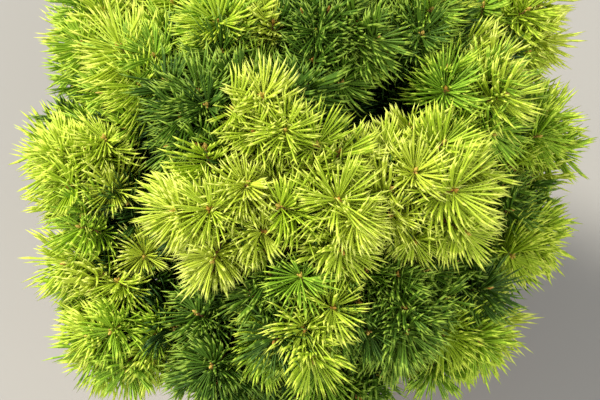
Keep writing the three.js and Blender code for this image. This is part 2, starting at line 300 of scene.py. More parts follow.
def unevenGroup():
    group, given, out = newGroup("unevenTone", [
        ("Vector", "NodeSocketVector", None),
        ("Broad Scale", "NodeSocketFloat", 12.0),
        ("Fine Scale", "NodeSocketFloat", 90.0),
        ("Dark", "NodeSocketColor", (0.1, 0.1, 0.1, 1)),
        ("Middle", "NodeSocketColor", (0.3, 0.3, 0.3, 1)),
        ("Light", "NodeSocketColor", (0.6, 0.6, 0.6, 1)),
    ], [("Color", "NodeSocketColor"), ("Height", "NodeSocketFloat")])
    make, join = group.nodes.new, group.links.new
    broad = setInputs(make("ShaderNodeTexNoise"), {"Detail": 5})
    fine = setInputs(make("ShaderNodeTexNoise"), {"Detail": 8, "Roughness": 0.65})
    for node, scale in ((broad, "Broad Scale"), (fine, "Fine Scale")):
        join(given.outputs["Vector"], node.inputs["Vector"])
        join(given.outputs[scale], node.inputs["Scale"])
    total = setInputs(make("ShaderNodeMath"), {1: toneMix["fine"]})
    total.operation = "MULTIPLY_ADD"
    join(fine.outputs["Fac"], total.inputs[0])
    part = setInputs(make("ShaderNodeMath"), {1: toneMix["broad"]})
    part.operation = "MULTIPLY"
    join(broad.outputs["Fac"], part.inputs[0])
    join(part.outputs[0], total.inputs[2])
    low = setInputs(make("ShaderNodeMapRange"), toneMix["darkToMiddle"])
    high = setInputs(make("ShaderNodeMapRange"), toneMix["middleToLight"])
    for node in (low, high):
        join(total.outputs[0], node.inputs["Value"])
    first = make("ShaderNodeMix")
    second = make("ShaderNodeMix")
    for node in (first, second):
        node.data_type = "RGBA"
    join(low.outputs[0], first.inputs["Factor"])
    join(given.outputs["Dark"], first.inputs[mixFirst])
    join(given.outputs["Middle"], first.inputs[mixSecond])
    join(high.outputs[0], second.inputs["Factor"])
    join(first.outputs[mixResult], second.inputs[mixFirst])
    join(given.outputs["Light"], second.inputs[mixSecond])
    join(second.outputs[mixResult], out.inputs["Color"])
    join(total.outputs[0], out.inputs["Height"])
    return group


uneven = unevenGroup()


# A stain between two heights: full at one, gone at the other, broken up by noise
def stainGroup():
    group, given, out = newGroup("heightStain", [
        ("Vector", "NodeSocketVector", None),
        ("Full At", "NodeSocketFloat", 0.0),
        ("Gone At", "NodeSocketFloat", 0.1),
        ("Patch Scale", "NodeSocketFloat", 30.0),
    ], [("Mask", "NodeSocketFloat")])
    make, join = group.nodes.new, group.links.new
    split = make("ShaderNodeSeparateXYZ")
    height = make("ShaderNodeMapRange")
    patches = setInputs(make("ShaderNodeTexNoise"), {"Detail": 7, "Roughness": 0.6})
    spread = setInputs(make("ShaderNodeMapRange"), {"From Min": 0.4, "From Max": 0.72})
    both = make("ShaderNodeMath")
    both.operation = "MULTIPLY"
    join(given.outputs["Vector"], split.inputs[0])
    join(given.outputs["Vector"], patches.inputs["Vector"])
    join(given.outputs["Patch Scale"], patches.inputs["Scale"])
    join(split.outputs["Z"], height.inputs["Value"])
    join(given.outputs["Gone At"], height.inputs["From Min"])
    join(given.outputs["Full At"], height.inputs["From Max"])
    join(patches.outputs["Fac"], spread.inputs["Value"])
    join(height.outputs[0], both.inputs[0])
    join(spread.outputs[0], both.inputs[1])
    join(both.outputs[0], out.inputs["Mask"])
    return group


stain = stainGroup()


def newMaterial(name, rough):
    material = bpy.data.materials.new(name)
    material.use_nodes = True
    tree = material.node_tree
    shader = setInputs(tree.nodes["Principled BSDF"], {"Roughness": rough})
    return material, tree, shader


# A surface with uneven tone and a bump from the same noise. Each stain is given as the height in
# metres at which it is full, the height at which it is gone, its patches and its colour.
def unevenMaterial(name, rough, broad, fine, dark, middle, light, bump, depth, stains=()):
    material, tree, shader = newMaterial(name, rough)
    make, join = tree.nodes.new, tree.links.new
    place = make("ShaderNodeTexCoord")
    tone = make("ShaderNodeGroup")
    tone.node_tree = uneven
    setInputs(tone, {"Broad Scale": broad, "Fine Scale": fine, "Dark": linear(dark),
                     "Middle": linear(middle), "Light": linear(light)})
    relief = setInputs(make("ShaderNodeBump"), {"Strength": bump, "Distance": depth})
    join(place.outputs["Object"], tone.inputs["Vector"])
    colour = tone.outputs["Color"]
    for full, gone, patch, tint in stains:
        mask = make("ShaderNodeGroup")
        mask.node_tree = stain
        setInputs(mask, {"Full At": full, "Gone At": gone, "Patch Scale": patch})
        blend = make("ShaderNodeMix")
        blend.data_type = "RGBA"
        setInputs(blend, {mixSecond: linear(tint)})
        join(place.outputs["Object"], mask.inputs["Vector"])
        join(mask.outputs["Mask"], blend.inputs["Factor"])
        join(colour, blend.inputs[mixFirst])
        colour = blend.outputs[mixResult]
    join(colour, shader.inputs["Base Color"])
    join(tone.outputs["Height"], relief.inputs["Height"])
    join(relief.outputs["Normal"], shader.inputs["Normal"])
    return material


def plainMaterial(name, colour, rough, shine=0.5):
    material, tree, shader = newMaterial(name, rough)
    setInputs(shader, {"Specular IOR Level": shine, "Base Color": linear(colour)})
    return material


# Salt bloom rises from the pot's foot and dries under the rim, and the foot is damp
clay = unevenMaterial("firedClay", 0.82, 16, 230, "9a5231", "ae6440", "bd7c58", 0.35, 0.0006,
                      [(0.0, 0.13, 26, "c9a58c"), (0.2, 0.12, 34, "c69a7e"),
                       (0.0, 0.035, 60, "7b432c")])
soil = unevenMaterial("darkCompost", 0.95, 40, 300, "120c08", "2a1d14", "4a3727", 0.8, 0.002)
bark = unevenMaterial("pineBark", 0.85, 60, 420, "2f1d14", "6a4530", "a1795a", 0.8, 0.0012,
                      [(0.216, 0.25, 90, "4a4a30")])
twigBark = unevenMaterial("youngTwigBark", 0.7, 120, 700, "5a3420", "8f5f33", "b98a4c", 0.4,
                          0.0004)
chip = unevenMaterial("barkChip", 0.9, 120, 600, "24160f", "4e3324", "7d5a41", 0.7, 0.0008)
grit = unevenMaterial("paleGrit", 0.9, 160, 800, "7d766a", "a39b8b", "c4bdae", 0.4, 0.0003)
straw = plainMaterial("fallenNeedle", "8a5f38", 0.7)
budBrown = plainMaterial("budBrown", "c8923f", 0.5)
budOchre = plainMaterial("budOchre", "d9b355", 0.5)

# Needle colours: the lower part of a needle and its outer part
youngTints = [
    ("a9c22c", "ccdb46"),
    ("b8cc38", "d6e056"),
    ("96b82a", "bcd23c"),
    ("c2d040", "dbe265"),
    ("86ac2a", "adc83a"),
]
# The deeper greens stand partly for older needles and partly for painted shade on masses that lie
# in shadow. The darkest greens stand for old needles together with painted shade inside the crown
# and under the masses.
deepTints = [("4c6e16", "7f9a2c"), ("5e801c", "92ac36"), ("3f6014", "6a8824")]
oldAndShadedTints = [("27450f", "3c6216"), ("345014", "4f6e1e"), ("223c10", "33561a")]
firstDeep = len(youngTints)
firstOldAndShaded = firstDeep + len(deepTints)
tints = youngTints + deepTints + oldAndShadedTints
needleMaterials = []
for k, (low, high) in enumerate(tints):
    needleMaterials.append(plainMaterial(f"needleLow{k + 1}", low, 0.55, 0.3))
    needleMaterials.append(plainMaterial(f"needleHigh{k + 1}", high, 0.5, 0.3))
print("materials made")


# Meshes from arrays, for the many small things

class Pile:
    def __init__(self):
        self.points, self.quads, self.tris, self.quadMats, self.triMats = [], [], [], [], []
        self.count = 0

    def add(self, points, quads, tris, quadMats, triMats):
        self.points.append(points)
        self.quads.append(quads + self.count)
        self.tris.append(tris + self.count)
        self.quadMats.append(quadMats)
        self.triMats.append(triMats)
        self.count += len(points)

    def build(self, name, materials):
        points = np.concatenate(self.points) * metre
        quads = np.concatenate(self.quads).astype(np.int32)
        tris = np.concatenate(self.tris).astype(np.int32)
        mats = np.concatenate(self.quadMats + self.triMats).astype(np.int32)
        starts = np.concatenate([np.arange(len(quads)) * 4,
                                 len(quads) * 4 + np.arange(len(tris)) * 3]).astype(np.int32)
        corners = np.concatenate([quads.ravel(), tris.ravel()])
        mesh = bpy.data.meshes.new(name)
        mesh.vertices.add(len(points))
        mesh.vertices.foreach_set("co", points.astype(np.float32).ravel())
        mesh.loops.add(len(corners))
        mesh.loops.foreach_set("vertex_index", corners)
        mesh.polygons.add(len(starts))
        mesh.polygons.foreach_set("loop_start", starts)
        mesh.polygons.foreach_set("material_index", mats)
        mesh.update(calc_edges=True)
        mesh.validate()
        mesh.shade_smooth()
        piece = addObject(name, mesh)
        for material in materials:
            mesh.materials.append(material)
        print(name, len(quads) * 2 + len(tris), "triangles")
        return piece


def crossUnits(along):
    helper = np.where(np.abs(along[:, 2:3]) < 0.9, [[0.0, 0, 1]], [[1.0, 0, 0]])
    side = np.cross(helper, along)
    side /= np.linalg.norm(side, axis=1, keepdims=True)
    return side, np.cross(along, side)


# Tubes all of one pattern: centres and radii are given for each ring of each tube
def addTubes(pile, centres, radii, sides, material):
    tubes, rings = radii.shape
    along = centres[:, -1] - centres[:, 0]
    along /= np.linalg.norm(along, axis=1, keepdims=True)
    side, other = crossUnits(along)
    turns = np.arange(sides) * 2 * math.pi / sides
    spokes = (side[:, None, None] * np.cos(turns)[None, None, :, None]
              + other[:, None, None] * np.sin(turns)[None, None, :, None])
    points = centres[:, :, None] + spokes * radii[:, :, None, None]
    base = (np.arange(tubes) * rings * sides)[:, None, None]
    ring = (np.arange(rings - 1) * sides)[None, :, None]
    k = np.arange(sides)[None, None, :]
    nextK = (np.arange(sides) + 1)[None, None, :] % sides
    quads = np.stack([base + ring + k, base + ring + nextK,
                      base + ring + sides + nextK, base + ring + sides + k], -1).reshape(-1, 4)
    fan = np.arange(1, sides - 1)
    first = np.stack([np.zeros_like(fan), fan + 1, fan], -1)
    last = np.stack([np.zeros_like(fan), fan, fan + 1], -1) + (rings - 1) * sides
    ends = (np.concatenate([first, last])[None] + base).reshape(-1, 3)
    pile.add(points.reshape(-1, 3), quads, ends,
             np.full(len(quads), material), np.full(len(ends), material))


# Pieces shaped in bmesh

def finishPiece(bm, name, materials, nodes=()):
    bmesh.ops.recalc_face_normals(bm, faces=bm.faces)
    bmesh.ops.scale(bm, vec=(metre, metre, metre), verts=bm.verts)
    mesh = bpy.data.meshes.new(name)
    bm.to_mesh(mesh)
    bm.free()
    mesh.shade_smooth()
    piece = addObject(name, mesh)
    for material in materials:
        mesh.materials.append(material)
    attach(piece, "root")
    if nodes:
        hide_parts(*nodes)
    print(name, len(mesh.polygons), "faces")
    return piece


# The pot: a profile turned on its axis, with the faint lines that throwing leaves
pot = {
    "height": 240, "foot": 94, "neck": 124, "rim": 134, "rimHeight": 40, "rimStep": 7, "wall": 9,
    "lip": 12, "floor": 12, "edge": 3, "soften": 1.4, "turns": 128, "rings": 44,
    "lines": 0.22, "lineSpacing": 3.1, "waver": 0.3, "waverAcross": 60, "waverUp": 40,
    "drain": 8, "drainCircle": 46, "drainHoles": 3, "drainSides": 40, "crease": 38,
}
band = pot["height"] - pot["rimHeight"]


def innerRadius(level):
    neck = pot["neck"] - pot["wall"]
    if level >= band:
        return mix(neck, pot["rim"] - pot["lip"], (level - band) / pot["rimHeight"])
    return mix(pot["foot"] - pot["wall"], neck, level / band)


def chain(bm, corners):
    verts = [bm.verts.new((x, 0, z)) for x, z in corners]
    return [bm.edges.new(pair) for pair in zip(verts, verts[1:])]


def turnProfile(bm, steps):
    bmesh.ops.spin(bm, geom=bm.verts[:] + bm.edges[:], cent=(0, 0, 0), axis=(0, 0, 1),
                   angle=2 * math.pi, steps=steps, use_merge=True, use_duplicate=False)
    bmesh.ops.remove_doubles(bm, verts=bm.verts, dist=0.01)
    bmesh.ops.recalc_face_normals(bm, faces=bm.faces)


bm = bmesh.new()
edge, step = pot["edge"], pot["neck"] + pot["rimStep"]
chain(bm, [
    (0, 0), (pot["foot"] - edge, 0), (pot["foot"], edge), (pot["neck"], band), (step, band),
    (step + edge / 2, band + edge), (pot["rim"], pot["height"] - edge),
    (pot["rim"] - edge, pot["height"]), (pot["rim"] - pot["lip"], pot["height"]),
    (innerRadius(band), band), (innerRadius(pot["floor"]), pot["floor"]), (0, pot["floor"]),
])

# The corners at the foot, the step and the rim are softened, and the two walls get rings
corners = [v for v in bm.verts if v.co.x > 1 and (v.co.z > band - 10 or v.co.z < edge + 1)]
bmesh.ops.bevel(bm, geom=corners, offset=pot["soften"], segments=3, profile=0.5, affect="VERTICES",
                material=-1)
walls = [e for e in bm.edges if abs(e.verts[0].co.z - e.verts[1].co.z) > 100]
bmesh.ops.subdivide_edges(bm, edges=walls, cuts=pot["rings"])
turnProfile(bm, pot["turns"])

# The lines and a slight waver, on both sides of the wall below the rim
for vert in bm.verts:
    across = math.hypot(vert.co.x, vert.co.y)
    if across > 80 and 6 < vert.co.z < band - 2:
        swell = pot["lines"] * noise.noise(Vector((0, 0, vert.co.z / pot["lineSpacing"])))
        place = Vector((vert.co.x / pot["waverAcross"], vert.co.y / pot["waverAcross"],
                        vert.co.z / pot["waverUp"]))
        swell += pot["waver"] * noise.noise(place)
        vert.co.x *= 1 + swell / across
        vert.co.y *= 1 + swell / across
potPiece = finishPiece(bm, "clay_pot", [clay], ["pot"])

# The drain holes through the floor
for k in range(pot["drainHoles"]):
    cutter = bmesh.new()
    turn = 2 * math.pi * k / pot["drainHoles"]
    place = Matrix.Translation((pot["drainCircle"] * math.cos(turn),
                                pot["drainCircle"] * math.sin(turn), pot["floor"] / 2))
    bmesh.ops.create_cone(cutter, cap_ends=True, segments=pot["drainSides"],
                          radius1=pot["drain"], radius2=pot["drain"], depth=pot["floor"] + 18,
                          matrix=place)
    bmesh.ops.scale(cutter, vec=(metre,) * 3, verts=cutter.verts)
    mesh = bpy.data.meshes.new("drainCut")
    cutter.to_mesh(mesh)
    cutter.free()
    tool = addObject("drainCut", mesh)
    cut = potPiece.modifiers.new("drain", "BOOLEAN")
    cut.object = tool
    cut.operation = "DIFFERENCE"
    cut.solver = "EXACT"
    shaped = bpy.data.meshes.new_from_object(
        potPiece.evaluated_get(bpy.context.evaluated_depsgraph_get()))
    potPiece.modifiers.clear()
    potPiece.data = shaped
    bpy.data.objects.remove(tool)
potPiece.data.name = "clay_pot"
potPiece.data.set_sharp_from_angle(angle=math.radians(pot["crease"]))
print("pot made")

# The compost: filled to below the rim, lumpy on top and a little heaped at the trunk
compost = {
    "edge": 208, "middle": ground, "flat": 52, "slopesTo": 116, "gap": 0.4, "lump": 1.5,
    "lumpSize": 9, "crumb": 0.5, "crumbSize": 3.5, "settled": 0.6, "smoothAt": 118, "fade": 6,
    "turns": 110, "rings": 44,
}


def compostLevel(x, y):
    across = math.hypot(x, y)
    slope = compost["slopesTo"] - compost["flat"]
    share = min(1, max(0, (across - compost["flat"]) / slope))
    level = mix(compost["middle"], compost["edge"], share * share * (3 - 2 * share))
    large, small = compost["lumpSize"], compost["crumbSize"]
    lump = noise.noise(Vector((x / large, y / large, 0)))
    lump += compost["crumb"] * noise.noise(Vector((x / small, y / small, 4)))
    faded = min(1, (compost["smoothAt"] - across) / compost["fade"])
    return level + compost["lump"] * (lump - compost["settled"]) * faded


bm = bmesh.new()
lowest, outer = pot["floor"] + 0.2, compost["edge"] - 0.6
edges = chain(bm, [
    (0, lowest), (innerRadius(pot["floor"]) - compost["gap"], lowest),
    (innerRadius(compost["edge"]) - compost["gap"], outer), (0, compost["middle"]),
])
bmesh.ops.subdivide_edges(bm, edges=[edges[2]], cuts=compost["rings"])
turnProfile(bm, compost["turns"])
for vert in bm.verts:
    if vert.co.z > outer - 0.4:
        vert.co.z = compostLevel(vert.co.x, vert.co.y)
finishPiece(bm, "potting_compost", [soil], ["compost"])

# Bark chips, grit and fallen needles that lie on the compost: how many, between which
# distances from the trunk, their sizes, and how much they tilt
litter = {
    "chips": {"count": 620, "within": (26, 110), "sizes": ((4, 13), (2.5, 7), (1.2, 3)),
              "tilt": 0.28},
    "grit": {"count": 300, "within": (26, 113), "sizes": ((1.2, 3), (1.2, 3), (1, 2.4)),
             "tilt": 0.8},
    "needles": {"count": 150, "within": (30, 92), "length": (26, 38), "edge": 108,
                "radii": (0.7, 0.75, 0.1), "above": (2.2, 2.0)},
    "worn": (0.62, 1.0), "bedded": (0.1, 0.9),
}
litterPile = Pile()
rng = np.random.default_rng(7)


def scatter(some):
    low, high = some["within"]
    across = np.sqrt(rng.uniform(low ** 2, high ** 2, some["count"]))
    turn = rng.uniform(0, 2 * math.pi, some["count"])
    x, y = across * np.cos(turn), across * np.sin(turn)
    return np.stack([x, y, [compostLevel(a, b) for a, b in zip(x, y)]], 1)


square = ((-1, -1), (1, -1), (1, 1), (-1, 1))
cubeCorners = np.array([[x, y, z] for z in (-1, 1) for x, y in square])
cubeFaces = np.array([[3, 2, 1, 0], [4, 5, 6, 7], [0, 1, 5, 4], [1, 2, 6, 5], [2, 3, 7, 6],
                      [3, 0, 4, 7]])


# Small blocks with worn corners
def addLumps(some, kind):
    count, tilt = some["count"], some["tilt"]
    places = scatter(some)
    half = np.stack([rng.uniform(*some["sizes"][k], count) for k in range(3)], 1) / 2
    worn = rng.uniform(*litter["worn"], (count, len(cubeCorners), 3))
    corners = cubeCorners[None] * half[:, None] * worn
    spin, lean = rng.uniform(0, 2 * math.pi, count), rng.normal(0, tilt, (count, 2))
    turned = []
    for k in range(count):
        turn = Matrix.Rotation(spin[k], 3, "Z") @ Matrix.Rotation(lean[k, 0], 3, "X")
        turned.append(corners[k] @ np.array(turn @ Matrix.Rotation(lean[k, 1], 3, "Y")).T)
    lift = half[:, 2] * rng.uniform(*litter["bedded"], count)
    points = np.array(turned) + places[:, None]
    points[:, :, 2] += lift[:, None]
    firsts = (np.arange(count) * len(cubeCorners))[:, None, None]
    faces = (cubeFaces[None] + firsts).reshape(-1, 4)
    litterPile.add(points.reshape(-1, 3), faces, np.zeros((0, 3), int),
                   np.full(len(faces), kind), np.zeros(0, int))


addLumps(litter["chips"], 0)
addLumps(litter["grit"], 1)
fallen = litter["needles"]
places = scatter(fallen)
turn = rng.uniform(0, 2 * math.pi, len(places))
lie = np.stack([np.cos(turn), np.sin(turn), rng.normal(0.02, 0.03, len(places))], 1)
far = rng.uniform(*fallen["length"], len(places))
ends = places + lie * far[:, None]
inside = np.hypot(ends[:, 0], ends[:, 1]) < fallen["edge"]
start, end = places[inside] + up * fallen["above"][0], ends[inside]
end[:, 2] = [compostLevel(x, y) + fallen["above"][1] for x, y, _ in end]
shares = np.array([0, 0.5, 1])[None, :, None]
rings = start[:, None] + (end - start)[:, None] * shares
addTubes(litterPile, rings, np.tile(fallen["radii"], (len(start), 1)), 4, 2)
litterPiece = litterPile.build("compost_litter", [chip, grit, straw])
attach(litterPiece, "root")
print("compost and litter made")

# Trunk and boughs: a straight tube bent to its line, then given the bark's plates
barkRelief = {"plate": 6.5, "least": 1.5, "stretch": 2.2, "edge": 3, "level": 0.6,
              "depth": 0.07, "most": 0.9}
limbMesh = {"trunkSides": 56, "trunkSpacing": 1.6, "boughSides": 18, "boughSpacing": 2.6,
            "sunk": 2}


def growLimb(bm, line, radiusAt, sides, spacing, facing, sunk=0):
    before = len(bm.verts)
    steps = max(6, math.ceil(line["far"][-1] / spacing))
    ring = bmesh.ops.create_circle(bm, cap_ends=False, segments=sides, radius=1)["verts"]
    rim = list({edge for vert in ring for edge in vert.link_edges})
    bmesh.ops.spin(bm, geom=ring + rim, cent=(0, 0, 0), axis=(0, 0, 1), dvec=(0, 0, 1),
                   angle=0, steps=steps, use_duplicate=False)
    bm.verts.ensure_lookup_table()
    verts = [bm.verts[k] for k in range(before, len(bm.verts))]
    ends = list({edge for vert in verts for edge in vert.link_edges if edge.is_boundary})
    bmesh.ops.holes_fill(bm, edges=ends, sides=sides)
    centres, normals, binormals = [], [], []
    normal = np.array(facing, float)
    for step in range(steps + 1):
        tangent = tangentAt(line, step / steps)
        normal = unit(normal - tangent * np.dot(normal, tangent))
        centres.append(pointAt(line, step / steps))
        normals.append(normal)
        binormals.append(np.cross(tangent, normal))
    for vert in verts:
        step = min(steps, max(0, round(vert.co.z)))
        turn = math.atan2(vert.co.y, vert.co.x)
        spoke = normals[step] * math.cos(turn) - binormals[step] * math.sin(turn)
        radius = radiusAt(step / steps, turn)
        at = centres[step] + spoke * radius
        size = min(barkRelief["plate"], radius * 0.9 + barkRelief["least"])
        probe = Vector((at[0] / size, at[1] / size, at[2] / size / barkRelief["stretch"]))
        near = noise.voronoi(probe)[0]
        furrow = min(1, (near[1] - near[0]) * barkRelief["edge"])
        deep = min(barkRelief["most"], radius * barkRelief["depth"])
        swell = (furrow - barkRelief["level"]) * deep
        at = centres[step] + spoke * (radius + swell)
        if sunk and step == 0:
            at[2] = ground - sunk
        vert.co = Vector(at)


bm = bmesh.new()
growLimb(bm, mainLine, trunkRadius, limbMesh["trunkSides"], limbMesh["trunkSpacing"],
         (0, -1, 0), limbMesh["sunk"])
finishPiece(bm, "trunk_bark", [bark], ["trunk"])
bm = bmesh.new()
for i in range(len(masses)):
    if i != leader:
        facing = up if abs(axes[i][2]) < 0.9 else (1, 0, 0)
        growLimb(bm, *limbs[i], limbMesh["boughSides"], limbMesh["boughSpacing"], facing)
finishPiece(bm, "boughs_bark", [bark],
            ["bough_" + name for i, name in enumerate(names) if i != leader])
print("limbs grown")


# Needles: a three-sided blade that bends towards the shoot's tip and ends in a point. Its root
# has a small face with corners of its own, so the sides keep their smooth shading.
needleSize = {"width": 1.85, "thick": 1.0, "base": 0.62, "wide": 1.06, "bendAt": 0.77,
              "bend": 0.12}
needleCorners = 10
needleQuads = np.array([[3, 4, 7, 6], [4, 5, 8, 7], [5, 3, 6, 8]])
needleTris = np.array([[0, 2, 1], [6, 7, 9], [7, 8, 9], [8, 6, 9]])


def addNeedles(pile, base, along, bendTo, length, across, tint):
    count = len(base)
    if count == 0:
        return
    size = needleSize
    side = np.cross(along, across)
    side /= np.linalg.norm(side, axis=1, keepdims=True)
    ridge = np.cross(along, side)
    far = length[:, None]
    bent = along + bendTo * size["bend"] * 2
    bent /= np.linalg.norm(bent, axis=1, keepdims=True)
    middle = base + along * far * size["bendAt"]
    tip = middle + bent * far * (1 - size["bendAt"])
    half = size["width"] / 2
    rows = []
    for centre, wide in ((base, size["base"]), (middle, size["wide"])):
        rows.append(centre - side * half * wide)
        rows.append(centre + side * half * wide)
        rows.append(centre + ridge * size["thick"] * wide)
    rows = rows[:3] + rows + [tip]
    points = np.stack(rows, 1).reshape(-1, 3)
    start = (np.arange(count) * needleCorners)[:, None, None]
    quads = (needleQuads[None] + start).reshape(-1, 4)
    tris = (needleTris[None] + start).reshape(-1, 3)
    pile.add(points, quads, tris, np.repeat(tint * 2, 3),
             (tint[:, None] * 2 + [0, 1, 1, 1]).ravel())


# More than any distance in the scene
farOff = 1e9


# How far inside its own mass's space each point is: below nought is outside
def cellDepth(points, i):
    own = np.linalg.norm(points - hubs[i], axis=1)
    gaps = np.full(len(points), farOff)
    for j, hub in enumerate(hubs):
        if j == i:
            continue
        apart = np.linalg.norm(hub - hubs[i])
        gaps = np.minimum(gaps, (np.sum((points - hub) ** 2, 1) - own ** 2) / (2 * apart))
    return gaps


# The least room between each point and the wood of any limb, a batch of points at a time
def limbRoom(points, batch=4000):
    room = np.full(len(points), farOff, np.float32)
    points = points.astype(np.float32)
    for start in range(0, len(points), batch):
        part = points[start:start + batch]
        apart = np.sqrt(((part[:, None] - knotPlaces[None]) ** 2).sum(-1)) - knotRadii
        room[start:start + batch] = apart.min(1)
    return room


# Whether points are above the pot's rim or outside it
def clearOfPot(points, spare=1.5):
    across = np.hypot(points[:, 0], points[:, 1])
    return (points[:, 2] > pot["height"] + spare) | (across > pot["rim"] + spare)


# Whether a twig from start to end has room round it
def clearOfWood(start, end, thick, steps=5):
    line = start + (end - start) * np.linspace(0, 1, steps)[:, None]
    return limbRoom(line).min() > thick and clearOfPot(line, 3).all()


# A direction that opens from an axis at a turn round it
def around(axis, turn, opening):
    side = unit(np.cross(up, axis))
    other = np.cross(axis, side)
    return (axis * math.cos(opening) + side * math.sin(opening) * math.cos(turn)
            + other * math.sin(opening) * math.sin(turn))


# Where a shoot points: mostly outwards, with a rise
def headingOf(way, axis):
    rise = mix(*shoot["rises"], max(0, axis[2]))
    return unit(way * shoot["outwards"] + axis * shoot["forwards"] + up * rise)


# A heading leant a little to one side by the rule
def leant(heading, most, *keys):
    lean = math.radians(between(0, most, *keys, 1))
    return around(heading, between(0, 2 * math.pi, *keys, 2), lean)


# Rows of shoots on a stem: how far below the hub they fork, how they open, the lengths of their
# twigs, how many there are and how big. The first two rows are the source's own, the rest are
# finer ones.
rows = [
    {"below": 2, "opens": (54, 76), "twig": (21, 28), "count": None, "size": 1.0},
    {"below": 25, "opens": (80, 104), "twig": (18, 26), "count": None, "size": 1.0},
    {"below": -7, "opens": (26, 44), "twig": (14, 20), "count": 4, "size": 0.94},
    {"below": 13, "opens": (66, 90), "twig": (22, 31), "count": 5, "size": 0.9},
    {"below": 34, "opens": (84, 112), "twig": (15, 24), "count": 3, "size": 0.85},
]

# The numbers of the rows: the leading shoot's own, those near it, the two low ones, and that of
# the old shoots inside the crown
leadRow, crestRows, lowRows, lowestRow, innerRow = -1, (-1, 2), (1, 4), 4, len(rows)

# Masses whose leading shoot has the lightest needles, and how big it is there. The bigger it is,
# the more room the other shoots leave it.
bold = {
    "shoulder_front_right": 1.2, "shoulder_front": 1.05, "shoulder_front_left": 0.9,
    "shoulder_left": 1.12, "top_front": 0.66, "front": 0.85, "left_low": 1.1, "back": 1.12,
    "right_back": 1.1,
}
boldRoom = 1.8

# Small old shoots along the outer part of a bough, inside the crown
inner = {
    "count": 5, "shares": (0.4, 0.96), "twig": (12, 20), "opens": (45, 80), "size": 0.74,
    "heads": (0.7, 0.5, 0.4), "tries": 4, "apart": 14, "room": 2.5, "firstSeed": 200,
}


def innerShoots(i, others):
    line, radiusAt = limbs[i]
    made = []
    outwards, forwards, rise = inner["heads"]
    for k in range(inner["count"]):
        seed = inner["firstSeed"] + k
        share = mix(*inner["shares"], (k + chance(i, seed, 1)) / inner["count"])
        fork, along = pointAt(line, share), tangentAt(line, share)
        reach = between(*inner["twig"], i, seed, 4) + radiusAt(share, 0)
        for attempt in range(inner["tries"]):
            turn = between(0, 2 * math.pi, i, seed, 3, attempt)
            way = around(along, turn, math.radians(between(*inner["opens"], i, seed, 2, attempt)))
            base = fork + way * reach
            heading = unit(way * outwards + along * forwards + up * rise)
            end = base + heading * shoot["length"] * inner["size"]
            apart = [np.linalg.norm(base - one["base"]) for one in others + made]
            if min(apart) > inner["apart"] and clearOfWood(base, end, inner["room"]):
                made.append({"root": fork, "base": base, "heading": heading,
                             "size": inner["size"], "seed": seed, "row": innerRow})
                break
    return made


# All the shoots that find room on one mass, each with its twig. A shoot that finds none is
# folded in towards the axis, and left out if that doesn't help.
def shootsOf(i):
    place, _, _, _, _, upper, lower = masses[i]
    axis, hub = axes[i], hubs[i]
    crest = hub + axis * stem["past"]
    boldness = bold.get(place, 1)
    size = shoot["terminal"] * boldness * between(*shoot["leadSizes"], i, 0, 5)
    found = [{"root": crest - axis * shoot["leadBelow"], "base": crest,
              "heading": headingOf(axis, axis), "size": size, "seed": 0, "row": leadRow}]
    for row, kind in enumerate(rows):
        count = kind["count"] or (upper, lower)[row]
        phase = between(0, 2 * math.pi, i, row, 1)
        for k in range(count):
            seed = shoot["seedsPerRow"] * row + k + 1
            fork = hub - axis * (kind["below"] + shoot["stagger"] * (k % 2))
            wander = between(-shoot["wander"], shoot["wander"], i, seed, 2)
            turn = phase + 2 * math.pi * (k + wander) / count
            opening = math.radians(between(*kind["opens"], i, seed, 3))
            reach = between(*kind["twig"], i, seed, 4)
            bulk = kind["size"] * between(*shoot["sizes"], i, seed, 5)
            for fold in shoot["folds"]:
                way = around(axis, turn, opening * fold)
                base = fork + way * reach
                heading = leant(headingOf(way, axis), shoot["leans"], i, seed, 6)
                end = base + heading * shoot["length"] * bulk
                if cellDepth(np.array([base, end]), i).min() < -shoot["beyond"]:
                    continue
                if not clearOfWood(base, end, shoot["room"]):
                    continue
                middle = base + heading * shoot["middle"]
                apart = [np.linalg.norm(middle - one["base"] - one["heading"] * shoot["middle"])
                         for one in found]
                least = shoot["apart"] * bulk
                if min(apart) < least or apart[0] < least * boldness ** boldRoom:
                    continue
                found.append({"root": fork, "base": base, "heading": heading,
                              "size": bulk, "seed": seed, "row": row})
                break
    if i != leader:
        found += innerShoots(i, found)
    return found


# The needles of one shoot, in pairs that wind round it
spray = {
    "pairs": 68, "foot": 0.04, "covers": 0.95, "unevenly": 0.4, "ends": (0.02, 0.99),
    "goldenAngle": 137.5, "twists": 0.45, "length": (31, 43), "atTip": 0.86, "wide": 74,
    "narrow": 40, "narrows": 1.3, "unruly": 9, "spread": 5, "spreadVaries": (-2, 4),
    "offTwig": 0.8, "shortOnes": 0.22, "shortened": (0.68, 0.92),
}


